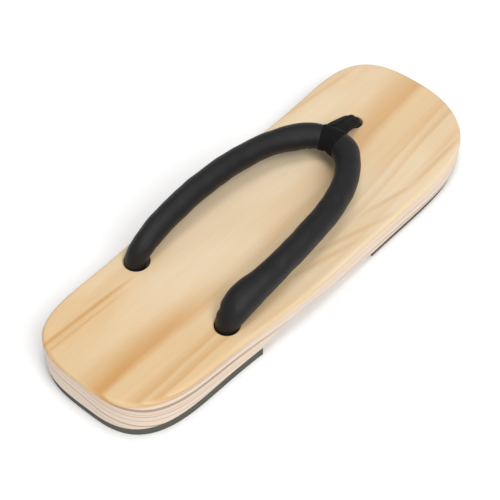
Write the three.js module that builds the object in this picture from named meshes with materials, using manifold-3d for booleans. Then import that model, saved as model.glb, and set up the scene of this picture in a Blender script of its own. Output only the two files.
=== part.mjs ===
// A low wooden thong sandal for the right foot: board, rubber pads, padded cloth strap and thong.
// Sizes are in millimetres. +Z is up, +Y points to the toe and +X to the outer side of the foot.
// The origin lies on the floor under the middle of the outline.
import * as THREE from 'three';
import { mergeVertices } from 'three/addons/utils/BufferGeometryUtils.js';
import Module from 'manifold-3d';

const wasm = await Module();
wasm.setup();

// Clearance between curved pieces
const GAP = 0.3;

// Outline of the board: half widths by station, from -1 at the heel end to 1 at the toe end
const HALF_LENGTH = 125;
const MIDDLE = { x: 0.33, y: -0.35 };
const HALF_WIDTHS = [
  { station: -1.0, inner: 55.6, outer: 49.4 },
  { station: -0.6, inner: 43.5, outer: 37.9 },
  { station: -0.2, inner: 44.0, outer: 39.7 },
  { station: 0.2, inner: 43.4, outer: 42.2 },
  { station: 0.6, inner: 46.4, outer: 53.1 },
  { station: 1.0, inner: 64.2, outer: 75.0 },
];
// Squareness of the four corners: 2 gives an ellipse and more a squarer corner
const SQUARENESS = {
  heel: { inner: 3.49, outer: 2.69 },
  toe: { inner: 2.92, outer: 2.1 },
};
// How far the toe end runs forward on the inner side, per millimetre across
const TOE_SLANT = 0.089;
const OUTLINE_STEPS = 64;

// Heights of the dished top, and the rounding of its edge
const TOP_HEIGHT = { heel: 23.2, middle: 17.3, toe: 16.05 };
const EDGE_RADIUS = 1.8;
const EDGE_STEPS = 3;

// Rubber pads: thickness, straight end and share of the board's outline
const HEEL_PAD = { thickness: 4.8, end: -54, across: 0.998, along: 0.996 };
const FOREFOOT_PAD = { thickness: 3.8, end: 23, across: 0.982, along: 0.985 };

// Underside of the arch between the pads
const ARCH = [
  { y: -54, z: 4.8 },
  { y: -46, z: 7.7 },
  { y: -38, z: 9.8 },
  { y: -30, z: 10.7 },
  { y: -20, z: 10.0 },
  { y: -8, z: 8.2 },
  { y: 7, z: 6.0 },
  { y: 23, z: 3.8 },
];
const ARCH_STEPS = 28;

// Middle line of the strap from the inner rear hole round the join to the outer rear hole
const STRAP = [
  { x: -31.5, y: -62.3, z: 8.0, radius: 4.7 },
  { x: -31.5, y: -62.3, z: 16.0, radius: 4.7 },
  { x: -31.2, y: -60.5, z: 23.0, radius: 4.9 },
  { x: -31.2, y: -53.0, z: 27.8, radius: 5.3 },
  { x: -31.9, y: -39.0, z: 30.5, radius: 5.5 },
  { x: -32.0, y: -20.0, z: 31.9, radius: 5.5 },
  { x: -30.8, y: -0.6, z: 32.0, radius: 5.5 },
  { x: -28.0, y: 18.0, z: 31.0, radius: 5.5 },
  { x: -22.8, y: 35.0, z: 29.6, radius: 5.6 },
  { x: -15.7, y: 46.6, z: 28.2, radius: 5.6 },
  { x: -6.8, y: 51.8, z: 27.0, radius: 5.5 },
  { x: 2.8, y: 49.4, z: 27.6, radius: 5.7 },
  { x: 12.4, y: 40.2, z: 28.5, radius: 5.75 },
  { x: 19.8, y: 25.0, z: 29.5, radius: 5.75 },
  { x: 23.6, y: 8.0, z: 30.2, radius: 5.75 },
  { x: 25.2, y: -10.0, z: 30.6, radius: 5.75 },
  { x: 25.7, y: -27.2, z: 30.3, radius: 5.75 },
  { x: 25.3, y: -43.0, z: 29.0, radius: 5.75 },
  { x: 24.8, y: -54.5, z: 26.9, radius: 5.5 },
  { x: 23.9, y: -61.8, z: 22.3, radius: 5.2 },
  { x: 23.0, y: -64.3, z: 16.0, radius: 4.7 },
  { x: 23.0, y: -64.3, z: 8.0, radius: 4.7 },
];
const STRAP_JOIN = 10;
const STRAP_STEPS = 5;
const STRAP_SIDES = 16;

// Thong: a cloth wrap round the strap's join and a stem to the front hole
const WRAP_THICKNESS = 1.0;
const WRAP_STEPS_EACH_WAY = 2;
const STEM = [
  { x: -7.2, y: 55.5, z: 28.6, radius: 4.7 },
  { x: -8.0, y: 61.5, z: 27.0, radius: 4.5 },
  { x: -9.2, y: 69.0, z: 23.8, radius: 4.1 },
  { x: -10.5, y: 76.0, z: 20.0, radius: 3.9 },
  { x: -11.3, y: 80.2, z: 14.5, radius: 3.7 },
  { x: -11.3, y: 80.7, z: 8.0, radius: 3.4 },
];
const STEM_FLATNESS = 0.62;
const STEM_STEPS = 4;
const STEM_SIDES = 14;

const WOOD = { color: 0xe8cfa6, roughness: 0.5, metalness: 0 };
const RUBBER = { color: 0x4c4c47, roughness: 0.85, metalness: 0 };
const STRAP_CLOTH = { color: 0x27272a, roughness: 0.9, metalness: 0 };
const THONG_CLOTH = { color: 0x1d1c1d, roughness: 0.95, metalness: 0 };

// A smooth curve through equally spaced values, read at a share from 0 to 1
function smoothThrough(values) {
  const last = values.length - 1;
  const bend = new Array(last + 1).fill(0);
  for (let pass = 0; pass < 60; pass++) {
    for (let i = 1; i < last; i++) {
      const kink = values[i - 1] - 2 * values[i] + values[i + 1];
      bend[i] = (6 * kink - bend[i - 1] - bend[i + 1]) / 4;
    }
  }
  return (share) => {
    const place = share * last;
    const i = Math.min(Math.floor(place), last - 1);
    const b = place - i;
    const a = 1 - b;
    const straight = a * values[i] + b * values[i + 1];
    return straight + ((a ** 3 - a) * bend[i] + (b ** 3 - b) * bend[i + 1]) / 6;
  };
}

const halfWidth = {
  inner: smoothThrough(HALF_WIDTHS.map((row) => row.inner)),
  outer: smoothThrough(HALF_WIDTHS.map((row) => row.outer)),
};

// One point of the board's outline on the inner or outer side
function outlinePoint(side, station) {
  const squareness = SQUARENESS[station < 0 ? 'heel' : 'toe'][side];
  const rounded = Math.max(0, 1 - Math.abs(station) ** squareness) ** (1 / squareness);
  const across = (side === 'outer' ? 1 : -1) * halfWidth[side]((station + 1) / 2) * rounded;
  const slant = station > 0 ? TOE_SLANT * across * station ** 2 : 0;
  return new THREE.Vector2(across + MIDDLE.x, HALF_LENGTH * station - slant + MIDDLE.y);
}

// The closed outline: the outer side from heel to toe, then the inner side back to the heel
function outlineLoop() {
  const loop = [];
  for (let i = 0; i <= OUTLINE_STEPS; i++) {
    loop.push(outlinePoint('outer', -Math.cos((Math.PI * i) / OUTLINE_STEPS)));
  }
  for (let i = OUTLINE_STEPS - 1; i > 0; i--) {
    loop.push(outlinePoint('inner', -Math.cos((Math.PI * i) / OUTLINE_STEPS)));
  }
  return loop;
}

// The outline moved inwards, square to its own direction
function insetLoop(loop, distance) {
  return loop.map((point, i) => {
    const before = loop[(i + loop.length - 1) % loop.length];
    const after = loop[(i + 1) % loop.length];
    const along = after.clone().sub(before).normalize();
    return new THREE.Vector2(point.x - along.y * distance, point.y + along.x * distance);
  });
}

// Height of the dished top at a place along the board
function topHeight(y) {
  const place = (y - MIDDLE.y) / HALF_LENGTH;
  const slope = (TOP_HEIGHT.toe - TOP_HEIGHT.heel) / 2;
  const dish = (TOP_HEIGHT.toe + TOP_HEIGHT.heel) / 2 - TOP_HEIGHT.middle;
  return TOP_HEIGHT.middle + slope * place + dish * place ** 2;
}

// A geometry from a flat list of corner positions and a list of triangles
function geometryFrom(points, triangles) {
  const geometry = new THREE.BufferGeometry();
  const positions = points.flatMap((point) => [point.x, point.y, point.z]);
  geometry.setAttribute('position', new THREE.Float32BufferAttribute(positions, 3));
  geometry.setIndex(triangles);
  return geometry;
}

// Triangles of the wall between rings of equal size, each ring above or after the last
function wallTriangles(ringCount, ringSize) {
  const triangles = [];
  for (let ring = 0; ring < ringCount - 1; ring++) {
    for (let i = 0; i < ringSize; i++) {
      const next = (i + 1) % ringSize;
      const low = ring * ringSize;
      const high = low + ringSize;
      triangles.push(low + i, low + next, high + next, low + i, high + next, high + i);
    }
  }
  return triangles;
}

// Strips across the board between the two sides of the ring that starts at a given corner
function capTriangles(start, size) {
  const triangles = [];
  for (let i = 0; i < OUTLINE_STEPS; i++) {
    const outer = [start + i, start + i + 1];
    const inner = [start + ((size - i) % size), start + size - i - 1];
    triangles.push([outer[0], outer[1], inner[1]], [outer[0], inner[1], inner[0]]);
  }
  return triangles.filter((corners) => new Set(corners).size === 3);
}

// The board's body: rings from the underside up and over the rounded top edge
function boardBlank() {
  const loop = outlineLoop();
  const size = loop.length;
  const rings = [loop.map((point) => new THREE.Vector3(point.x, point.y, FOREFOOT_PAD.thickness))];
  for (let step = 0; step <= EDGE_STEPS; step++) {
    const turn = (Math.PI / 2) * (step / EDGE_STEPS);
    const inset = insetLoop(loop, EDGE_RADIUS * (1 - Math.cos(turn)));
    const drop = EDGE_RADIUS * (1 - Math.sin(turn));
    rings.push(inset.map((point) => new THREE.Vector3(point.x, point.y, topHeight(point.y) - drop)));
  }
  const top = (rings.length - 1) * size;
  const under = capTriangles(0, size).map(([a, b, c]) => [a, c, b]);
  const over = capTriangles(top, size);
  const triangles = [...wallTriangles(rings.length, size), ...under.flat(), ...over.flat()];
  return geometryFrom(rings.flat(), triangles);
}

// A flat shape given by points, raised to a height
function prism(points, height) {
  return new THREE.ExtrudeGeometry(new THREE.Shape(points), { depth: height, bevelEnabled: false });
}

// Everything below the board: heel seat, arch and forefoot, cut right across
function undersideCutter() {
  const reach = HALF_LENGTH + 10;
  const archY = smoothThrough(ARCH.map((row) => row.y));
  const archZ = smoothThrough(ARCH.map((row) => row.z));
  const profile = [new THREE.Vector2(-reach, -1), new THREE.Vector2(-reach, HEEL_PAD.thickness)];
  for (let i = 0; i <= ARCH_STEPS; i++) {
    profile.push(new THREE.Vector2(archY(i / ARCH_STEPS), archZ(i / ARCH_STEPS)));
  }
  profile.push(new THREE.Vector2(FOREFOOT_PAD.end, -1));
  const cutter = prism(profile, 2 * reach);
  cutter.rotateX(Math.PI / 2).rotateZ(Math.PI / 2);
  return cutter.translate(-reach, 0, 0);
}

// A rubber pad: the board's outline drawn in, kept behind or in front of a straight end
function padPrism(pad, keeps) {
  const loop = outlineLoop().map((point) => {
    return new THREE.Vector2(point.x * pad.across, point.y * pad.along);
  });
  const points = [];
  loop.forEach((point, i) => {
    const next = loop[(i + 1) % loop.length];
    if (keeps(point.y)) {
      points.push(point);
    }
    if (keeps(point.y) !== keeps(next.y)) {
      points.push(point.clone().lerp(next, (pad.end - point.y) / (next.y - point.y)));
    }
  });
  return prism(points, pad.thickness);
}

// Places along a table's middle line, each with its radius and two directions across it
function middleLine(table, stepsPerRow) {
  const read = {};
  for (const column of ['x', 'y', 'z', 'radius']) {
    read[column] = smoothThrough(table.map((row) => row[column]));
  }
  const steps = (table.length - 1) * stepsPerRow;
  const pointAt = (share) => new THREE.Vector3(read.x(share), read.y(share), read.z(share));
  const places = [];
  let side = new THREE.Vector3(1, 0, 0);
  for (let i = 0; i <= steps; i++) {
    const share = i / steps;
    const before = pointAt(Math.max(0, share - 1e-4));
    const along = pointAt(Math.min(1, share + 1e-4)).sub(before).normalize();
    side = side.clone().projectOnPlane(along).normalize();
    const over = new THREE.Vector3().crossVectors(along, side);
    places.push({ centre: pointAt(share), radius: read.radius(share), side, over });
  }
  return places;
}

// A closed tube round a middle line, grown by a clearance and flattened by a share
function tube(places, sides, grown, flatness) {
  const points = [];
  for (const place of places) {
    for (let i = 0; i < sides; i++) {
      const turn = (2 * Math.PI * i) / sides;
      const across = (place.radius + grown) * Math.cos(turn);
      const over = (place.radius * flatness + grown) * Math.sin(turn);
      points.push(place.centre.clone().addScaledVector(place.side, across).addScaledVector(place.over, over));
    }
  }
  const triangles = wallTriangles(places.length, sides);
  const end = (places.length - 1) * sides;
  for (let i = 1; i < sides - 1; i++) {
    triangles.push(0, i + 1, i);
    triangles.push(end, end + i, end + i + 1);
  }
  return geometryFrom(points, triangles);
}

// Geometry to solid and back
function solid(geometry) {
  geometry.deleteAttribute('normal');
  geometry.deleteAttribute('uv');
  const merged = mergeVertices(geometry, 1e-4);
  const vertProperties = new Float32Array(merged.attributes.position.array);
  const triVerts = new Uint32Array(merged.index.array);
  return new wasm.Manifold(new wasm.Mesh({ numProp: 3, vertProperties, triVerts }));
}

function node(name, body, look) {
  const mesh = body.getMesh();
  const geometry = new THREE.BufferGeometry();
  geometry.setAttribute('position', new THREE.Float32BufferAttribute(mesh.vertProperties, 3));
  geometry.setIndex([...mesh.triVerts]);
  geometry.computeVertexNormals();
  const piece = new THREE.Mesh(geometry, new THREE.MeshStandardMaterial(look));
  piece.name = name;
  return piece;
}

const strapLine = middleLine(STRAP, STRAP_STEPS);
const stemLine = middleLine(STEM, STEM_STEPS);
const roundStrap = (places, grown) => solid(tube(places, STRAP_SIDES, grown, 1));
const flatStem = (grown) => solid(tube(stemLine, STEM_SIDES, grown, STEM_FLATNESS));

function makeBase() {
  const board = solid(boardBlank()).subtract(solid(undersideCutter()));
  const rearHoles = roundStrap(strapLine, GAP);
  const frontHole = flatStem(GAP);
  return board.subtract(rearHoles).subtract(frontHole);
}

function makeThong() {
  const join = STRAP_JOIN * STRAP_STEPS;
  const wrapped = strapLine.slice(join - WRAP_STEPS_EACH_WAY, join + WRAP_STEPS_EACH_WAY + 1);
  const wrap = roundStrap(wrapped, GAP + WRAP_THICKNESS);
  return wrap.add(flatStem(0)).subtract(roundStrap(strapLine, GAP));
}

const sandal = new THREE.Group();
sandal.name = 'geta_sandal';
sandal.add(node('base', makeBase(), WOOD));
sandal.add(node('heel_pad', solid(padPrism(HEEL_PAD, (y) => y < HEEL_PAD.end)), RUBBER));
sandal.add(node('forefoot_pad', solid(padPrism(FOREFOOT_PAD, (y) => y > FOREFOOT_PAD.end)), RUBBER));
sandal.add(node('strap', roundStrap(strapLine, 0), STRAP_CLOTH));
sandal.add(node('toe_thong', makeThong(), THONG_CLOTH));

export default sandal;
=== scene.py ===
# A low wooden thong sandal for the right foot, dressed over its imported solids.
# Tables are in millimetres and meshes in metres. +Z is up, +Y points to the toe, +X to the outer side.
import math

import bmesh
import bpy
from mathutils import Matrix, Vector


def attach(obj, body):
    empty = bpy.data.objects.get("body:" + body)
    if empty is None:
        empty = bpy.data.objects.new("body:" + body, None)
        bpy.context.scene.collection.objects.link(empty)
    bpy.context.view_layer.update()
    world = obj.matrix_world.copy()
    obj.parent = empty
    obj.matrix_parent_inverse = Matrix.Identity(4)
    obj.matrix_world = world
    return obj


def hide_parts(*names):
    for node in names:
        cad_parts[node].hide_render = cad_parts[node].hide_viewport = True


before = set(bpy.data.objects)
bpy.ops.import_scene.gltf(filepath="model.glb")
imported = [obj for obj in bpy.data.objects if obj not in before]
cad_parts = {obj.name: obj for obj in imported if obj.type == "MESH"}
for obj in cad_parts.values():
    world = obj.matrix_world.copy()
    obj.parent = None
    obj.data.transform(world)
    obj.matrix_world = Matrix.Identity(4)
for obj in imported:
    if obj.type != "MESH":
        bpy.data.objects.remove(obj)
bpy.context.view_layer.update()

MILLIMETRE = 0.001

# Passes that settle a smooth curve, and the angles in degrees beyond which an edge is shaded sharp
SMOOTHING_PASSES = 60
SHARP_ANGLE = 40
BOARD_SHARP_ANGLE = 32
CLOTH_SHARP_ANGLE = 60

# Outline of the board: half widths on the inner and outer side at equal stations from heel to toe
HALF_LENGTH = 125
MIDDLE_X = 0.33
MIDDLE_Y = -0.35
HALF_WIDTHS = {
    "inner": [55.6, 43.5, 44.0, 43.4, 46.4, 64.2],
    "outer": [49.4, 37.9, 39.7, 42.2, 53.1, 75.0],
}
# Squareness of the corners at the heel and at the toe: 2 gives an ellipse and more a squarer corner
SQUARENESS = {"inner": (3.49, 2.92), "outer": (2.69, 2.1)}
TOE_SLANT = 0.089
OUTLINE_STEPS = 150

# The board's dished top, its edges and the columns across it
TOP_HEEL = 23.2
TOP_MIDDLE = 17.3
TOP_TOE = 16.05
TOP_SLOPE = (TOP_TOE - TOP_HEEL) / 2
TOP_DISH = (TOP_TOE + TOP_HEEL) / 2 - TOP_MIDDLE
TOP_EDGE = 1.8
LOWER_EDGE = 0.5
EDGE_STEPS = 6
BOARD_COLUMNS = 28

# Underside of the arch between the pads: y and z
ARCH = [
    (-54, 4.8),
    (-46, 7.7),
    (-38, 9.8),
    (-30, 10.7),
    (-20, 10.0),
    (-8, 8.2),
    (7, 6.0),
    (23, 3.8),
]
ARCH_SAMPLES = 120

# Rubber pads: thickness, straight end and share of the board's outline
HEEL_PAD = {"thickness": 4.8, "end": -54, "across": 0.998, "along": 0.996}
FOREFOOT_PAD = {"thickness": 3.8, "end": 23, "across": 0.982, "along": 0.985}
PAD_EDGE = 0.5
PAD_EDGE_STEPS = 4

# Strap holes in the board: x, y, radius
HOLES = [(-31.3, -60.6, 6.1), (23.3, -62.6, 5.8), (-11.1, 78.6, 4.5)]
HOLE_FLOOR = 8.0
HOLE_CHAMFER = 0.4
HOLE_SIDES = 64

# Middle line of the strap from the inner rear hole round the join to the outer one: x, y, z, radius
STRAP = [
    (-31.5, -61.6, 8.5, 4.7),
    (-31.5, -61.6, 16.0, 4.7),
    (-31.2, -60.5, 23.0, 4.9),
    (-31.2, -53.0, 27.8, 5.3),
    (-31.9, -39.0, 30.5, 5.5),
    (-32.0, -20.0, 31.9, 5.5),
    (-30.8, -0.6, 32.0, 5.5),
    (-28.0, 18.0, 31.0, 5.5),
    (-22.8, 35.0, 29.6, 5.6),
    (-15.7, 46.6, 28.2, 5.6),
    (-6.8, 51.8, 27.0, 5.5),
    (2.8, 49.4, 27.6, 5.7),
    (12.4, 40.2, 28.5, 5.75),
    (19.8, 25.0, 29.5, 5.75),
    (23.6, 8.0, 30.2, 5.75),
    (25.2, -10.0, 30.6, 5.75),
    (25.7, -27.2, 30.3, 5.75),
    (25.3, -43.0, 29.0, 6.0),
    (24.6, -54.8, 26.9, 6.3),
    (23.9, -61.4, 22.6, 5.4),
    (23.1, -63.1, 16.0, 4.7),
    (23.1, -63.1, 8.5, 4.7),
]
STRAP_JOIN = 10
STRAP_STEPS = 14
STRAP_SIDES = 56

# Soft unevenness of the padding: length along the strap, height, turns round the strap
STRAP_LUMPS = [(23.0, 0.07, 1), (14.5, 0.05, 2), (9.2, 0.035, 1)]
# Creases in the strap: run from the join, angle round it, half angle, width along it, depth.
# Negative runs lie on the inner arm. Angle 0 is the top, 90 the inside of the V, 180 the underside.
STRAP_CREASES = [
    (-8.6, 90, 70, 1.1, 0.35),
    (-12.4, 110, 55, 1.2, 0.28),
    (-17.0, 100, 45, 1.4, 0.18),
    (7.6, 85, 75, 1.1, 0.4),
    (11.2, 105, 60, 1.2, 0.3),
    (15.6, 95, 45, 1.5, 0.2),
    (-6.4, 0, 60, 1.0, 0.22),
    (6.2, -10, 60, 1.0, 0.22),
    (-115.0, 150, 80, 1.3, 0.35),
    (-119.5, 165, 80, 1.1, 0.4),
    (-110.0, 140, 60, 1.6, 0.2),
    (54.0, -10, 50, 4.5, 0.6),
    (99.0, -10, 50, 3.5, 0.5),
    (127.5, 90, 75, 1.3, 0.8),
    (122.0, 150, 70, 1.3, 0.4),
    (112.5, 140, 55, 1.7, 0.22),
]
# Every crease: its trough as a share of the depth, and the share and relative width of its soft ridges
CREASE_TROUGH = 1.3
CREASE_RIDGE = 0.45
CREASE_RIDGE_WIDTH = 2.4
# Fuller stretches of the strap: run from the join, angle round it, length along it, height
STRAP_SWELLS = [
    (-62.0, 110, 60.0, 0.85),
    (62.0, 90, 60.0, 0.6),
    (0.0, 90, 14.0, 1.2),
    (-17.0, 105, 10.0, 1.3),
    (12.0, -80, 8.0, 0.9),
    (118.0, 80, 13.0, 1.7),
]
# The seam under the strap: half angle and depth of its groove
STRAP_SEAM = (7, 0.3)
# How far the thong's wrap draws the strap in, and over what length
STRAP_PINCH = (0.45, 5.5)

# The thong's wrap: reach along each arm at the toe side and at the inside of the V, its height over
# the strap, how steeply it ends, the number and height of its folds, and how deep its inside lies
WRAP_REACH = {"inner": (4.4, 5.8), "outer": (5.2, 11.0)}
WRAP_LIFT = 0.7
WRAP_EDGE_POWER = 8
WRAP_FOLDS = (1.25, 0.1)
WRAP_DEPTH = 1.4
WRAP_ROWS = 22
WRAP_SIDES = 96

# Middle line of the thong's stem: x, y, z, radius
STEM = [
    (-7.2, 55.5, 28.6, 5.9),
    (-8.0, 61.5, 26.5, 5.2),
    (-9.2, 69.0, 23.0, 4.6),
    (-10.4, 75.6, 18.8, 4.3),
    (-11.1, 78.9, 13.5, 3.9),
    (-11.2, 79.0, 8.5, 3.7),
]
STEM_FLATNESS = (0.5, 0.95)
STEM_STEPS = 16
STEM_SIDES = 72
# Lengthwise folds of the stem: angle round it, half angle, depth
STEM_FOLDS = [(-38, 13, 0.75), (8, 12, 0.85), (52, 12, 0.7), (150, 16, 0.6), (215, 16, 0.6)]
# Wrap and stem as one cloth: voxel size, smoothing passes, gap to the strap, longest edge of a sliver
THONG_VOXEL = 0.28
THONG_SMOOTHING = 3
THONG_CLEARANCE = 0.06
SLIVER = 0.02


def smooth_through(values):
    """A smooth curve through equally spaced values, read at a share from 0 to 1."""
    last = len(values) - 1
    bend = [0.0] * (last + 1)
    for _ in range(SMOOTHING_PASSES):
        for i in range(1, last):
            kink = values[i - 1] - 2 * values[i] + values[i + 1]
            bend[i] = (6 * kink - bend[i - 1] - bend[i + 1]) / 4

    def value_at(share):
        place = share * last
        i = min(int(place), last - 1)
        b = place - i
        a = 1 - b
        straight = a * values[i] + b * values[i + 1]
        return straight + ((a**3 - a) * bend[i] + (b**3 - b) * bend[i + 1]) / 6

    return value_at


def between(value, places, readings):
    """A reading at a value, in straight lines between rising places."""
    if value <= places[0]:
        return readings[0]
    for i in range(1, len(places)):
        if value <= places[i]:
            share = (value - places[i - 1]) / (places[i] - places[i - 1])
            return readings[i - 1] + share * (readings[i] - readings[i - 1])
    return readings[-1]


def bell(distance, width):
    """A soft bump: 1 in the middle, near 0 beyond the width."""
    return math.exp(-((distance / width) ** 2))


def turn_between(angle, other):
    """The smallest turn between two angles, in degrees."""
    return abs((angle - other + 180) % 360 - 180)


# Meshes


def mesh_piece(name, points, faces, sharp_angle=SHARP_ANGLE):
    """A shaded object from corners in millimetres."""
    mesh = bpy.data.meshes.new(name)
    mesh.from_pydata([Vector(point) * MILLIMETRE for point in points], [], faces)
    mesh.validate()
    piece = bpy.data.objects.new(name, mesh)
    bpy.context.scene.collection.objects.link(piece)
    shade(piece, sharp_angle)
    return piece


def shade(piece, sharp_angle):
    """Shades a piece smoothly, apart from edges that turn by more than an angle."""
    piece.data.shade_smooth()
    piece.data.set_sharp_from_angle(angle=math.radians(sharp_angle))


def settle(piece):
    """Turns a piece's modifiers into its mesh."""
    shape = piece.evaluated_get(bpy.context.evaluated_depsgraph_get())
    settled = bpy.data.meshes.new_from_object(shape)
    before = piece.data
    piece.modifiers.clear()
    piece.data = settled
    bpy.data.meshes.remove(before)


def cut(piece, cutter):
    """Takes a cutter's shape out of a piece and removes the cutter."""
    boolean = piece.modifiers.new("cut", "BOOLEAN")
    boolean.operation = "DIFFERENCE"
    boolean.solver = "EXACT"
    boolean.object = cutter
    settle(piece)
    bpy.data.objects.remove(cutter)


def clean(piece):
    """Closes up the slivers that a cut leaves behind, and takes out faces folded flat together."""
    mesh = bmesh.new()
    mesh.from_mesh(piece.data)
    bmesh.ops.remove_doubles(mesh, verts=mesh.verts, dist=SLIVER * MILLIMETRE)
    bmesh.ops.dissolve_degenerate(mesh, edges=mesh.edges, dist=SLIVER * MILLIMETRE)
    bmesh.ops.triangulate(mesh, faces=mesh.faces)
    mesh.verts.index_update()
    faces_by_corners = {}
    for face in mesh.faces:
        corners = frozenset(corner.index for corner in face.verts)
        faces_by_corners.setdefault(corners, []).append(face)
    folded = [face for faces in faces_by_corners.values() if len(faces) > 1 for face in faces]
    bmesh.ops.delete(mesh, geom=folded, context="FACES")
    mesh.to_mesh(piece.data)
    mesh.free()


def ring_walls(rings, size):
    """Faces between rings of equal size, each ring above or after the last."""
    faces = []
    for ring in range(rings - 1):
        low = ring * size
        high = low + size
        for i in range(size):
            after = (i + 1) % size
            faces.append((low + i, low + after, high + after, high + i))
    return faces


half_width = {side: smooth_through(widths) for side, widths in HALF_WIDTHS.items()}
arch_y = smooth_through([row[0] for row in ARCH])
arch_z = smooth_through([row[1] for row in ARCH])
ARCH_SHARES = [i / ARCH_SAMPLES for i in range(ARCH_SAMPLES + 1)]
ARCH_LINE_Y = [arch_y(share) for share in ARCH_SHARES]
ARCH_LINE_Z = [arch_z(share) for share in ARCH_SHARES]


def top_height(y):
    """Height of the dished top at a place along the board."""
    place = (y - MIDDLE_Y) / HALF_LENGTH
    return TOP_MIDDLE + TOP_SLOPE * place + TOP_DISH * place**2


def underside(y):
    """Height of the board's underside: heel seat, arch and forefoot."""
    return between(y, ARCH_LINE_Y, ARCH_LINE_Z)


def outline_point(side, station):
    """One point of the board's outline, at a station from -1 at the heel to 1 at the toe."""
    squareness = SQUARENESS[side][0 if station < 0 else 1]
    rounded = max(0, 1 - abs(station) ** squareness) ** (1 / squareness)
    across = half_width[side]((station + 1) / 2) * rounded
    if side == "inner":
        across = -across
    slant = TOE_SLANT * across * station**2 if station > 0 else 0
    return (across + MIDDLE_X, HALF_LENGTH * station - slant + MIDDLE_Y)


def outline_stations():
    """Stations closer together towards the ends, with one at each end of the arch."""
    even = [-math.cos(math.pi * i / OUTLINE_STEPS) for i in range(OUTLINE_STEPS + 1)]
    arch_ends = [(row[0] - MIDDLE_Y) / HALF_LENGTH for row in (ARCH[0], ARCH[-1])]
    return sorted(even + arch_ends)


def outline_loop():
    """The closed outline: the outer side from heel to toe, then the inner side back to the heel."""
    stations = outline_stations()
    outer = [outline_point("outer", station) for station in stations]
    inner = [outline_point("inner", station) for station in reversed(stations[1:-1])]
    return outer + inner


def inset_loop(loop, distance):
    """A loop moved inwards, square to its own direction."""
    moved = []
    for i, (x, y) in enumerate(loop):
        before = loop[i - 1]
        after = loop[(i + 1) % len(loop)]
        along = Vector((after[0] - before[0], after[1] - before[1])).normalized()
        moved.append((x - along.y * distance, y + along.x * distance))
    return moved


def board_cap(points, faces, start, size, height_at, facing_up):
    """Closes a ring of the board with rows across it, each corner at the height of its place."""
    last = size // 2
    rows = []
    for i in range(last + 1):
        outer = start + i
        inner = start + (size - i) % size
        if outer == inner:
            rows.append([outer] * (BOARD_COLUMNS + 1))
            continue
        row = [outer]
        for column in range(1, BOARD_COLUMNS):
            share = column / BOARD_COLUMNS
            x = points[outer][0] + share * (points[inner][0] - points[outer][0])
            y = points[outer][1] + share * (points[inner][1] - points[outer][1])
            row.append(len(points))
            points.append((x, y, height_at(y)))
        rows.append(row + [inner])
    for row, after in zip(rows, rows[1:]):
        for column in range(BOARD_COLUMNS):
            corners = [row[column], after[column], after[column + 1], row[column + 1]]
            corners = list(dict.fromkeys(corners))
            faces.append(corners if facing_up else corners[::-1])


def board_rings(loop):
    """Rings of the board's wall from its rounded lower edge to its rounded top edge."""
    rings = []
    for step in range(EDGE_STEPS + 1):
        turn = math.pi / 2 * step / EDGE_STEPS
        inset = inset_loop(loop, LOWER_EDGE * (1 - math.sin(turn)))
        rise = LOWER_EDGE * (1 - math.cos(turn))
        rings.append([(x, y, underside(y) + rise) for x, y in inset])
    for step in range(EDGE_STEPS + 1):
        turn = math.pi / 2 * step / EDGE_STEPS
        inset = inset_loop(loop, TOP_EDGE * (1 - math.cos(turn)))
        drop = TOP_EDGE * (1 - math.sin(turn))
        rings.append([(x, y, top_height(y) - drop) for x, y in inset])
    return rings


def hole_cutter(x, y, radius):
    """A round blind hole with a small chamfer at the board's top."""
    rim = top_height(y)
    profile = [
        (radius, HOLE_FLOOR),
        (radius, rim - HOLE_CHAMFER),
        (radius + HOLE_CHAMFER, rim),
        (radius + 2 * HOLE_CHAMFER, rim + HOLE_CHAMFER),
    ]
    points = []
    for reach, height in profile:
        for i in range(HOLE_SIDES):
            turn = 2 * math.pi * i / HOLE_SIDES
            points.append((x + reach * math.cos(turn), y + reach * math.sin(turn), height))
    faces = ring_walls(len(profile), HOLE_SIDES)
    faces.append(tuple(reversed(range(HOLE_SIDES))))
    faces.append(tuple(range(len(points) - HOLE_SIDES, len(points))))
    return mesh_piece("hole_cutter", points, faces)


def make_board():
    """The wooden sole with its rounded edges, its arch and its three strap holes."""
    loop = outline_loop()
    size = len(loop)
    rings = board_rings(loop)
    points = [point for ring in rings for point in ring]
    faces = ring_walls(len(rings), size)
    top_start = (len(rings) - 1) * size
    board_cap(points, faces, 0, size, underside, False)
    board_cap(points, faces, top_start, size, top_height, True)
    board = mesh_piece("board", points, faces)
    for hole in HOLES:
        cut(board, hole_cutter(*hole))
    shade(board, BOARD_SHARP_ANGLE)
    return board


def make_pad(name, pad, keeps):
    """A rubber pad: the board's outline drawn in, kept on one side of a straight end."""
    loop = [(x * pad["across"], y * pad["along"]) for x, y in outline_loop()]
    shape = []
    for i, (x, y) in enumerate(loop):
        next_x, next_y = loop[(i + 1) % len(loop)]
        if keeps(y):
            shape.append((x, y))
        if keeps(y) != keeps(next_y):
            share = (pad["end"] - y) / (next_y - y)
            shape.append((x + share * (next_x - x), pad["end"]))
    size = len(shape)
    points = []
    for step in range(PAD_EDGE_STEPS + 1):
        turn = math.pi / 2 * step / PAD_EDGE_STEPS
        inset = inset_loop(shape, PAD_EDGE * (1 - math.sin(turn)))
        height = PAD_EDGE * (1 - math.cos(turn))
        points += [(x, y, height) for x, y in inset]
    points += [(x, y, pad["thickness"]) for x, y in shape]
    faces = ring_walls(PAD_EDGE_STEPS + 2, size)
    faces.append(tuple(reversed(range(size))))
    faces.append(tuple(range(len(points) - size, len(points))))
    return mesh_piece(name, points, faces)


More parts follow.
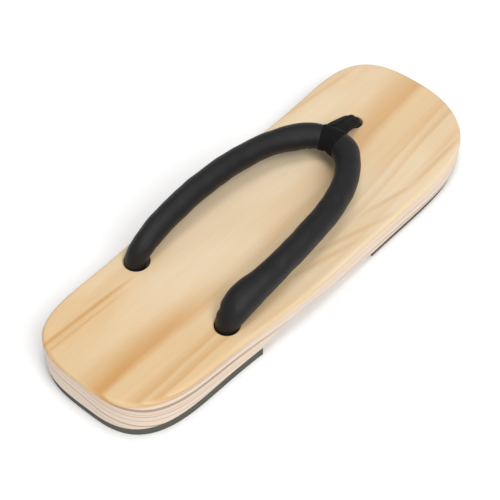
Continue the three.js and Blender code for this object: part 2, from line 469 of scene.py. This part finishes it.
class Line:
    """A middle line through a table, with a radius, a direction over it and one beside it."""

    def __init__(self, table, steps_per_row, start_row):
        columns = [smooth_through(column) for column in zip(*table)]
        count = (len(table) - 1) * steps_per_row
        readings = [[column(i / count) for column in columns] for i in range(count + 1)]
        self.centres = [Vector(reading[:3]) for reading in readings]
        self.radii = [reading[3] for reading in readings]
        self.tangents = self.find_tangents()
        start = start_row * steps_per_row
        self.overs = self.find_overs(start)
        self.sides = [tangent.cross(over) for tangent, over in zip(self.tangents, self.overs)]
        self.runs = self.find_runs(start)

    def find_tangents(self):
        last = len(self.centres) - 1
        tangents = []
        for i in range(last + 1):
            ahead = self.centres[min(i + 1, last)]
            behind = self.centres[max(i - 1, 0)]
            tangents.append((ahead - behind).normalized())
        return tangents

    def find_overs(self, start):
        """Directions over the line, upright at the start and carried along it both ways."""
        count = len(self.tangents)
        overs = [None] * count
        for order in (range(start, count), range(start, -1, -1)):
            over = Vector((0, 0, 1))
            for i in order:
                tangent = self.tangents[i]
                over = (over - tangent * over.dot(tangent)).normalized()
                overs[i] = over
        return overs

    def find_runs(self, start):
        """Distances along the line, counted from the start."""
        runs = [0.0]
        for before, after in zip(self.centres, self.centres[1:]):
            runs.append(runs[-1] + (after - before).length)
        return [run - runs[start] for run in runs]

    def at(self, run):
        """Centre, radius, over and side at a distance along the line."""
        i = 0
        while i < len(self.runs) - 2 and self.runs[i + 1] < run:
            i += 1
        share = (run - self.runs[i]) / (self.runs[i + 1] - self.runs[i])
        centre = self.centres[i].lerp(self.centres[i + 1], share)
        radius = self.radii[i] + share * (self.radii[i + 1] - self.radii[i])
        over = self.overs[i].lerp(self.overs[i + 1], share).normalized()
        side = self.sides[i].lerp(self.sides[i + 1], share).normalized()
        return centre, radius, over, side


def sweep(line, sides, reach):
    """Corners and faces of a closed tube; reach gives its extent over and beside the line."""
    points = []
    for i, centre in enumerate(line.centres):
        for k in range(sides):
            over, beside = reach(i, 360 * k / sides)
            points.append(centre + line.overs[i] * over + line.sides[i] * beside)
    faces = ring_walls(len(line.centres), sides)
    faces.append(tuple(reversed(range(sides))))
    faces.append(tuple(range(len(points) - sides, len(points))))
    return points, faces


def strap_radius(radius, run, angle):
    """The padded strap's radius with its lumps, creases, fuller stretches, seam and pinched join."""
    for length, height, turns in STRAP_LUMPS:
        radius += height * math.sin(2 * math.pi * run / length + math.radians(turns * angle))
    for crease_run, crease_angle, half_angle, width, depth in STRAP_CREASES:
        off = turn_between(angle, crease_angle)
        if off < half_angle:
            fade = math.cos(math.pi / 2 * off / half_angle) ** 2
            trough = bell(run - crease_run, width)
            ridge = bell(run - crease_run, CREASE_RIDGE_WIDTH * width)
            radius -= depth * fade * (CREASE_TROUGH * trough - CREASE_RIDGE * ridge)
    for swell_run, swell_angle, length, height in STRAP_SWELLS:
        facing = max(0, math.cos(math.radians(turn_between(angle, swell_angle))))
        radius += height * bell(run - swell_run, length) * facing**2
    seam_half_angle, seam_depth = STRAP_SEAM
    radius -= seam_depth * bell(turn_between(angle, 180), seam_half_angle)
    pinch, pinch_length = STRAP_PINCH
    return radius - pinch * bell(run, pinch_length)


def strap_mesh(name, line, grown):
    """The strap as a closed tube, grown outwards by a small distance."""

    def reach(i, angle):
        radius = strap_radius(line.radii[i], line.runs[i], angle) + grown
        turn = math.radians(angle)
        return radius * math.cos(turn), radius * math.sin(turn)

    points, faces = sweep(line, STRAP_SIDES, reach)
    return mesh_piece(name, points, faces, CLOTH_SHARP_ANGLE)


def lay_cloth(piece, line, sides):
    """Cloth coordinates in metres: along the strap and round it."""
    girth = 2 * math.pi * sum(line.radii) / len(line.radii)
    layer = piece.data.uv_layers.new(name="cloth")
    for polygon in piece.data.polygons:
        rows = [vertex // sides for vertex in polygon.vertices]
        columns = [vertex % sides for vertex in polygon.vertices]
        wraps = max(columns) - min(columns) > 1
        for loop, row, column in zip(polygon.loop_indices, rows, columns):
            place = sides if wraps and column == 0 else column
            along = line.runs[row] * MILLIMETRE
            layer.data[loop].uv = (along, place / sides * girth * MILLIMETRE)


def make_strap(line):
    strap = strap_mesh("strap_padded", line, 0)
    lay_cloth(strap, line, STRAP_SIDES)
    return strap


def make_wrap(line):
    """The thong's cloth band round the strap's join, wider at the inside of the V."""
    folds, fold_height = WRAP_FOLDS
    profile = [(2 * i / WRAP_ROWS - 1, True) for i in range(WRAP_ROWS + 1)]
    profile += [(1 - 2 * i / WRAP_ROWS, False) for i in range(WRAP_ROWS + 1)]
    points = []
    for k in range(WRAP_SIDES):
        angle = 360 * k / WRAP_SIDES
        turn = math.radians(angle)
        rearward = (1 + math.sin(turn)) / 2
        for across, outside in profile:
            narrow, wide = WRAP_REACH["outer" if across > 0 else "inner"]
            run = across * (narrow + (wide - narrow) * rearward)
            centre, radius, over, side = line.at(run)
            radius = strap_radius(radius, run, angle)
            if outside:
                ridge = math.cos(2 * math.pi * folds * across + turn)
                radius += (WRAP_LIFT + fold_height * ridge) * (1 - across**WRAP_EDGE_POWER)
            else:
                radius -= WRAP_DEPTH
            points.append(centre + over * radius * math.cos(turn) + side * radius * math.sin(turn))
    size = len(profile)
    faces = ring_walls(WRAP_SIDES, size)
    last = (WRAP_SIDES - 1) * size
    for i in range(size):
        after = (i + 1) % size
        faces.append((last + i, last + after, after, i))
    return points, faces


def make_stem():
    """The thong's folded stem from the wrap to the front hole."""
    line = Line(STEM, STEM_STEPS, 0)

    def reach(i, angle):
        scale = 1.0
        for fold_angle, half_angle, depth in STEM_FOLDS:
            scale -= depth / line.radii[i] * bell(turn_between(angle, fold_angle), half_angle)
        turn = math.radians(angle)
        wide = line.radii[i] * scale
        start, end = STEM_FLATNESS
        flatness = start + (end - start) * i / (len(line.radii) - 1)
        return wide * flatness * math.cos(turn), wide * math.sin(turn)

    return sweep(line, STEM_SIDES, reach)


def make_thong(strap_line):
    """Wrap and stem joined into one soft cloth, trimmed back from the strap."""
    points, faces = make_wrap(strap_line)
    stem_points, stem_faces = make_stem()
    start = len(points)
    faces += [tuple(corner + start for corner in face) for face in stem_faces]
    thong = mesh_piece("thong", points + stem_points, faces)
    remesh = thong.modifiers.new("one_cloth", "REMESH")
    remesh.mode = "VOXEL"
    remesh.voxel_size = THONG_VOXEL * MILLIMETRE
    smooth = thong.modifiers.new("soften", "SMOOTH")
    smooth.iterations = THONG_SMOOTHING
    settle(thong)
    cut(thong, strap_mesh("strap_cutter", strap_line, THONG_CLEARANCE))
    clean(thong)
    shade(thong, CLOTH_SHARP_ANGLE)
    return thong


# Materials


def linear(red, green, blue):
    """A colour given in screen values from 0 to 255, as light amounts."""
    amounts = []
    for value in (red, green, blue):
        share = value / 255
        amounts.append(share / 12.92 if share <= 0.04045 else ((share + 0.055) / 1.055) ** 2.4)
    return (*amounts, 1.0)


class Look:
    """A material's node tree, with short calls that add nodes and link them."""

    def __init__(self, name):
        self.material = bpy.data.materials.new(name)
        self.material.use_nodes = True
        self.tree = self.material.node_tree
        self.shader = self.tree.nodes["Principled BSDF"]

    def add(self, kind, inputs=(), **settings):
        node = self.tree.nodes.new(kind)
        for key, value in settings.items():
            setattr(node, key, value)
        for socket, value in dict(inputs).items():
            self.put(node.inputs[socket], value)
        return node

    def put(self, socket, value):
        if isinstance(value, Field):
            value = value.socket
        if isinstance(value, bpy.types.NodeSocket):
            self.tree.links.new(value, socket)
        else:
            socket.default_value = value

    def shade(self, **inputs):
        for name, value in inputs.items():
            self.put(self.shader.inputs[name.replace("_", " ")], value)

    def field(self, socket):
        return Field(self, socket)

    def place(self, scale=(1000, 1000, 1000)):
        """The place on the piece, scaled; the plain scale reads millimetres."""
        coordinates = self.add("ShaderNodeTexCoord").outputs["Object"]
        inputs = {"Vector": coordinates, "Scale": scale}
        return self.add("ShaderNodeMapping", inputs).outputs["Vector"]

    def noise(self, vector, scale, detail=2.0, roughness=0.5):
        inputs = {"Vector": vector, "Scale": scale, "Detail": detail, "Roughness": roughness}
        return self.field(self.add("ShaderNodeTexNoise", inputs).outputs["Fac"])

    def axes(self, vector):
        parts = self.add("ShaderNodeSeparateXYZ", {"Vector": vector}).outputs
        return [self.field(parts[axis]) for axis in "XYZ"]

    def remap(self, value, low, high, to_low, to_high):
        """Maps a field from one range to another, softly, and holds it at the ends."""
        inputs = {
            "Value": value,
            "From Min": low,
            "From Max": high,
            "To Min": to_low,
            "To Max": to_high,
        }
        node = self.add("ShaderNodeMapRange", inputs, interpolation_type="SMOOTHSTEP")
        return self.field(node.outputs["Result"])

    def ramp(self, value, stops):
        """Reads a field on a table of places from 0 to 1 and grey values."""
        node = self.add("ShaderNodeValToRGB", {"Fac": value})
        elements = node.color_ramp.elements
        while len(elements) < len(stops):
            elements.new(1.0)
        for element, (place, grey) in zip(elements, stops):
            element.position = place
            element.color = (grey, grey, grey, 1)
        return self.field(node.outputs["Color"])

    def mix(self, share, first, second, blend="MIX"):
        node = self.add("ShaderNodeMix", data_type="RGBA", blend_type=blend)
        self.put(node.inputs["Factor"], share)
        colours = [socket for socket in node.inputs if socket.type == "RGBA"]
        self.put(colours[0], first)
        self.put(colours[1], second)
        return [socket for socket in node.outputs if socket.type == "RGBA"][0]

    def bump(self, height, distance, strength=1.0):
        inputs = {"Height": height, "Distance": distance, "Strength": strength}
        return self.add("ShaderNodeBump", inputs).outputs["Normal"]


class Field:
    """A number that varies over a surface; sums and products of fields become math nodes."""

    def __init__(self, look, socket):
        self.look = look
        self.socket = socket

    def math(self, operation, *others):
        inputs = dict(enumerate((self, *others)))
        node = self.look.add("ShaderNodeMath", inputs, operation=operation)
        return Field(self.look, node.outputs["Value"])

    def __add__(self, other):
        return self.math("ADD", other)

    def __sub__(self, other):
        return self.math("SUBTRACT", other)

    def __mul__(self, other):
        return self.math("MULTIPLY", other)

    def __rsub__(self, other):
        return self.math("MULTIPLY", -1.0).math("ADD", other)


# Growth rings of the pine board: the pith lies under the inner side, far below the board
PITH_X = -27.0
RING_RADIUS = 200.0
# How far the rings rise from the middle of the board to the toe: y start, y end, height
RING_RISE = (-30.0, 110.0, 1.2)
RING_RANGE = (-20.0, 14.0)
# Late wood by ring place: start of its slow rise, outer border, width of the border, strength
LATE_WOOD = [
    (-12.6, -11.8, 0.3, 0.35),
    (-9.3, -8.4, 0.3, 0.8),
    (-5.4, -4.6, 0.3, 0.4),
    (-2.6, -1.7, 0.3, 0.45),
    (-1.3, 0.03, 0.1, 0.35),
    (0.9, 3.1, 0.7, 0.85),
    (5.2, 6.3, 0.3, 0.55),
    (6.6, 7.5, 0.3, 0.65),
    (9.2, 10.2, 0.3, 0.45),
]
# Strength of the late wood along the board, from heel to toe
LATE_ALONG = [(0.0, 1.0), (0.2, 0.85), (0.34, 0.3), (0.55, 0.3), (0.72, 0.6), (1.0, 0.66)]

# Single dark lines in the grain; the two beside the strap's outer arm also hold painted shadow of the
# strap: x and y of the start, x and y of the end, half width, strength
GRAIN_AND_SHADOW_LINES = [
    (-28.0, -130.0, -26.2, -74.0, 1.9, 0.7),
    (-24.2, -130.0, -22.8, -84.0, 1.3, 0.45),
    (30.0, 32.0, 36.8, 62.0, 2.4, 0.36),
    (36.0, 58.0, 37.0, 102.0, 2.2, 0.4),
    # These two run beside the strap's outer arm: grain with the strap's painted shadow in it
    (25.5, -8.0, 38.6, 34.0, 2.4, 0.3),
    (27.0, -26.0, 37.0, 14.0, 2.4, 0.3),
    (-40.6, 60.0, -35.0, 112.0, 2.6, 0.35),
]
LINE_END = 14.0

# How finely noise varies in a metre across, along and up the board, and how far it moves the grain
DRIFT_SCALE = (18, 5, 18)
GRAIN_DRIFT = 5.0
SWAY_SCALE = (30, 9, 30)
GRAIN_SWAY = 1.6
PATCH_SCALE = (24, 6, 24)
WARMTH_SCALE = (35, 10, 35)
FIBRE_SCALE = (900, 14, 900)
FIBRE_SHADE = [(0.25, 0.94), (0.75, 1.0)]
# Depths below the top between which the colour of the top gives way to that of the wall
WALL_DEPTHS = (1.2, 2.6)
# Share of the board, from the heel, over which its warmer tint fades, and that tint's strength
HEEL_TINT_REACH = 0.4
HEEL_TINT = 0.75
WOOD_RELIEF = 0.00005

CREAM = linear(233, 212, 179)
WARM_CREAM = linear(225, 193, 148)
AMBER = linear(202, 144, 74)
WALL_CREAM = linear(236, 215, 195)
WALL_BROWN = linear(160, 131, 108)


def ring_stops():
    """Late wood on the scale of the ring range: a slow rise and a sharp fall for each ring."""
    low, high = RING_RANGE
    stops = []
    for start, border, width, strength in LATE_WOOD:
        for place, grey in ((start, 0.0), (border, strength), (border + width, 0.0)):
            stops.append(((place - low) / (high - low), grey))
    return stops


def grain_and_shadow_line(look, x, y, line):
    """A dark line between two places, soft at its sides and at its ends: grain, and beside the strap
    partly painted shadow.
    """
    start_x, start_y, end_x, end_y, line_half_width, strength = line
    slope = (end_x - start_x) / (end_y - start_y)
    beside = (x - start_x - (y - start_y) * slope).math("ABSOLUTE")
    across = look.remap(beside, 0.0, line_half_width, strength, 0.0)
    begun = look.remap(y, start_y - LINE_END, start_y + LINE_END, 0.0, 1.0)
    going_on = look.remap(y, end_y - LINE_END, end_y + LINE_END, 1.0, 0.0)
    return across * begun * going_on


def late_wood(look, x, y, depth, from_heel):
    """Strength of the dark late wood, by the growth rings that the surface cuts."""
    beside = x - PITH_X
    below = RING_RADIUS - depth
    rise_start, rise_end, rise = RING_RISE
    risen = look.remap(y, rise_start, rise_end, 0.0, rise)
    ring = (beside * beside + below * below).math("SQRT") - RING_RADIUS + risen
    low, high = RING_RANGE
    late = look.ramp((ring - low) * (1 / (high - low)), ring_stops())
    patches = look.remap(look.noise(look.place(PATCH_SCALE), 1.7), 0.3, 0.7, 0.6, 1.0)
    return late * patches * look.ramp(from_heel, LATE_ALONG)


def wood_colour(look, x, y, depth, from_heel, late):
    """Cream wood with amber streaks on top, those beside the strap partly painted shadow, and paler
    wood with brown lines on the walls.
    """
    dark = late
    # The dark lines beside the strap's outer arm carry painted shadow as well as grain
    for line in GRAIN_AND_SHADOW_LINES:
        dark = dark.math("MAXIMUM", grain_and_shadow_line(look, x, y, line))
    warmth = look.remap(look.noise(look.place(WARMTH_SCALE), 0.9), 0.35, 0.7, 0.0, 0.8)
    warmth = warmth + look.remap(from_heel, 0.0, HEEL_TINT_REACH, HEEL_TINT, 0.0)
    top_colour = look.mix(dark, look.mix(warmth, CREAM, WARM_CREAM), AMBER)
    wall_late = look.remap(late, 0.0, 0.6, 0.0, 0.85)
    wall_colour = look.mix(wall_late, WALL_CREAM, WALL_BROWN)
    wall = look.remap(depth, *WALL_DEPTHS, 0.0, 1.0)
    return look.mix(wall, top_colour, wall_colour)


def wood_look():
    """Smooth pine, with rings that run through the board and fine fibres along it."""
    look = Look("pine")
    x, y, z = look.axes(look.place())
    drift = look.noise(look.place(DRIFT_SCALE), 1.0) - 0.5
    sway = look.noise(look.place(SWAY_SCALE), 1.3, 3.0) - 0.5
    x = x + drift * GRAIN_DRIFT
    z = z + sway * GRAIN_SWAY
    along = (y - MIDDLE_Y) * (1 / HALF_LENGTH)
    top = along * TOP_SLOPE + along * along * TOP_DISH + TOP_MIDDLE
    depth = top - z
    from_heel = (along + 1.0) * 0.5
    late = late_wood(look, x, y, depth, from_heel)
    colour = wood_colour(look, x, y, depth, from_heel, late)
    fibres = look.noise(look.place(FIBRE_SCALE), 1.0, 4.0, 0.6)
    fibre_shade = look.ramp(fibres, FIBRE_SHADE)
    look.shade(
        Base_Color=look.mix(1.0, colour, fibre_shade, "MULTIPLY"),
        Roughness=look.remap(fibres, 0.2, 0.8, 0.42, 0.58),
        Specular_IOR_Level=0.35,
        Normal=look.bump(fibres + late * 0.8, WOOD_RELIEF, 0.5),
    )
    return look.material


RUBBER_GREYS = (linear(80, 80, 74), linear(100, 100, 92))
RUBBER_GRAIN = linear(70, 70, 66)
RUBBER_GRAIN_SCALE = (2200, 2200, 2200)
RUBBER_CLOUD_SCALE = (60, 60, 60)
FINE_RELIEF = 0.00012


def rubber_look():
    """Matt grey rubber with a fine grain."""
    look = Look("grey_rubber")
    grain = look.noise(look.place(RUBBER_GRAIN_SCALE), 1.0, 3.0)
    cloud = look.noise(look.place(RUBBER_CLOUD_SCALE), 1.0)
    colour = look.mix(cloud, *RUBBER_GREYS)
    colour = look.mix(grain * 0.35, colour, RUBBER_GRAIN)
    look.shade(
        Base_Color=colour,
        Roughness=look.remap(grain, 0.3, 0.7, 0.72, 0.88),
        Specular_IOR_Level=0.3,
        Normal=look.bump(grain, FINE_RELIEF, 0.6),
    )
    return look.material


WEAVE_PITCH = 0.00062
STRAP_BLACKS = (linear(17, 17, 18), linear(29, 28, 29))
STRAP_THREAD = linear(52, 50, 51)
THONG_BLACKS = (linear(10, 10, 11), linear(19, 18, 19))
THONG_THREAD = linear(32, 30, 30)
NAP_SCALE = (1500, 1500, 1500)
STRAP_WEAR_SCALE = (90, 90, 90)
THREAD_SCALE = (2400, 700, 2400)
THONG_WEAR_SCALE = (140, 140, 140)


def strap_look():
    """Matt black cloth, woven along and round the strap, with a soft nap."""
    look = Look("black_cloth")
    cloth = look.add("ShaderNodeUVMap", uv_map="cloth").outputs["UV"]
    u, v, _ = look.axes(cloth)
    threads = 2 * math.pi / WEAVE_PITCH
    warp = (u * threads).math("SINE")
    weft = (v * threads).math("SINE")
    weave = warp * weft
    nap = look.noise(look.place(NAP_SCALE), 1.0, 3.0)
    wear = look.noise(look.place(STRAP_WEAR_SCALE), 1.0, 3.0)
    colour = look.mix(wear, *STRAP_BLACKS)
    raised = look.remap(weave + nap * 0.6, 0.2, 1.2, 0.0, 0.3)
    colour = look.mix(raised, colour, STRAP_THREAD)
    look.shade(
        Base_Color=colour,
        Roughness=look.remap(nap, 0.3, 0.7, 0.4, 0.52),
        Specular_IOR_Level=0.27,
        Sheen_Weight=0.02,
        Sheen_Roughness=0.45,
        Normal=look.bump(weave * 0.5 + nap, FINE_RELIEF, 0.6),
    )
    return look.material


def thong_look():
    """Darker, flatter cloth with fine lengthwise threads."""
    look = Look("black_thong_cloth")
    threads = look.noise(look.place(THREAD_SCALE), 1.0, 3.0)
    wear = look.noise(look.place(THONG_WEAR_SCALE), 1.0, 2.0)
    colour = look.mix(wear, *THONG_BLACKS)
    colour = look.mix(threads * 0.3, colour, THONG_THREAD)
    look.shade(
        Base_Color=colour,
        Roughness=look.remap(threads, 0.3, 0.7, 0.8, 0.95),
        Specular_IOR_Level=0.14,
        Sheen_Weight=0.02,
        Sheen_Roughness=0.5,
        Normal=look.bump(threads, FINE_RELIEF, 0.6),
    )
    return look.material


def floor_look():
    """A matt floor, almost white."""
    look = Look("pale_floor")
    cloud = look.noise(look.place(FLOOR_CLOUD_SCALE), 1.0)
    look.shade(
        Base_Color=look.mix(cloud, *FLOOR_GREYS),
        Roughness=0.9,
        Specular_IOR_Level=0.1,
    )
    return look.material


# The dressed sandal


def dress(piece, node, material):
    """Gives a piece its material, hangs it under the root body and hides the solid that it stands for.
    """
    piece.data.materials.clear()
    piece.data.materials.append(material)
    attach(piece, "root")
    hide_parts(node)


strap_line = Line(STRAP, STRAP_STEPS, STRAP_JOIN)
strap = make_strap(strap_line)
rubber = rubber_look()

dress(make_board(), "base", wood_look())
dress(make_pad("pad_heel", HEEL_PAD, lambda y: y < HEEL_PAD["end"]), "heel_pad", rubber)
dress(
    make_pad("pad_forefoot", FOREFOOT_PAD, lambda y: y > FOREFOOT_PAD["end"]),
    "forefoot_pad",
    rubber,
)
dress(strap, "strap", strap_look())
dress(make_thong(strap_line), "toe_thong", thong_look())


# Floor, light and camera

CAMERA_PLACE = Vector((219.34, -287.85, 415.44)) * MILLIMETRE
CAMERA_AIM = Vector((1.2, -19.8, 14.0)) * MILLIMETRE
CAMERA_LENS = 82.9
SENSOR_WIDTH = 36
FLOOR_HALF = 3.0
FLOOR_CLOUD_SCALE = (3, 3, 3)
FLOOR_GREYS = ((0.93, 0.93, 0.93, 1), (0.95, 0.95, 0.95, 1))
SKY_STRENGTH = 0.4
KEY_LIGHT = {"place": (0.1, -0.1, 1.4), "size": 0.6, "power": 6.4}
FRONT_LIGHT = {"place": (0.62, -0.2, 0.85), "spread": 30, "strength": 1.6}


def make_floor():
    mesh = bpy.data.meshes.new("floor")
    corners = [(-1, -1), (1, -1), (1, 1), (-1, 1)]
    mesh.from_pydata([(x * FLOOR_HALF, y * FLOOR_HALF, 0) for x, y in corners], [], [(0, 1, 2, 3)])
    floor = bpy.data.objects.new("floor", mesh)
    bpy.context.scene.collection.objects.link(floor)
    mesh.materials.append(floor_look())


def aim(thing, target):
    """Turns a light or the camera to a place."""
    thing.rotation_euler = (target - thing.location).to_track_quat("-Z", "Y").to_euler()


def hang(name, data, place):
    """Puts a light in its place, turned to the sandal."""
    light = bpy.data.objects.new(name, data)
    light.location = place
    aim(light, Vector((0, 0, 0)))
    bpy.context.scene.collection.objects.link(light)


def area_light(name, place, size, power):
    """A round lamp."""
    data = bpy.data.lights.new(name, "AREA")
    data.shape = "DISK"
    data.size = size
    data.energy = power
    hang(name, data, place)


def even_light(name, place, spread, strength):
    """A soft light from far away, as bright at the toe as at the heel."""
    data = bpy.data.lights.new(name, "SUN")
    data.angle = math.radians(spread)
    data.energy = strength
    hang(name, data, place)


def light_studio():
    world = bpy.data.worlds.new("studio")
    world.use_nodes = True
    background = world.node_tree.nodes["Background"]
    background.inputs["Color"].default_value = (1, 1, 1, 1)
    background.inputs["Strength"].default_value = SKY_STRENGTH
    bpy.context.scene.world = world
    area_light("key", **KEY_LIGHT)
    even_light("front", **FRONT_LIGHT)


def place_camera():
    data = bpy.data.cameras.new("camera")
    data.lens = CAMERA_LENS
    data.sensor_width = SENSOR_WIDTH
    camera = bpy.data.objects.new("camera", data)
    camera.location = CAMERA_PLACE
    aim(camera, CAMERA_AIM)
    bpy.context.scene.collection.objects.link(camera)
    bpy.context.scene.camera = camera


make_floor()
light_studio()
place_camera()
bpy.context.scene.view_settings.view_transform = "Standard"
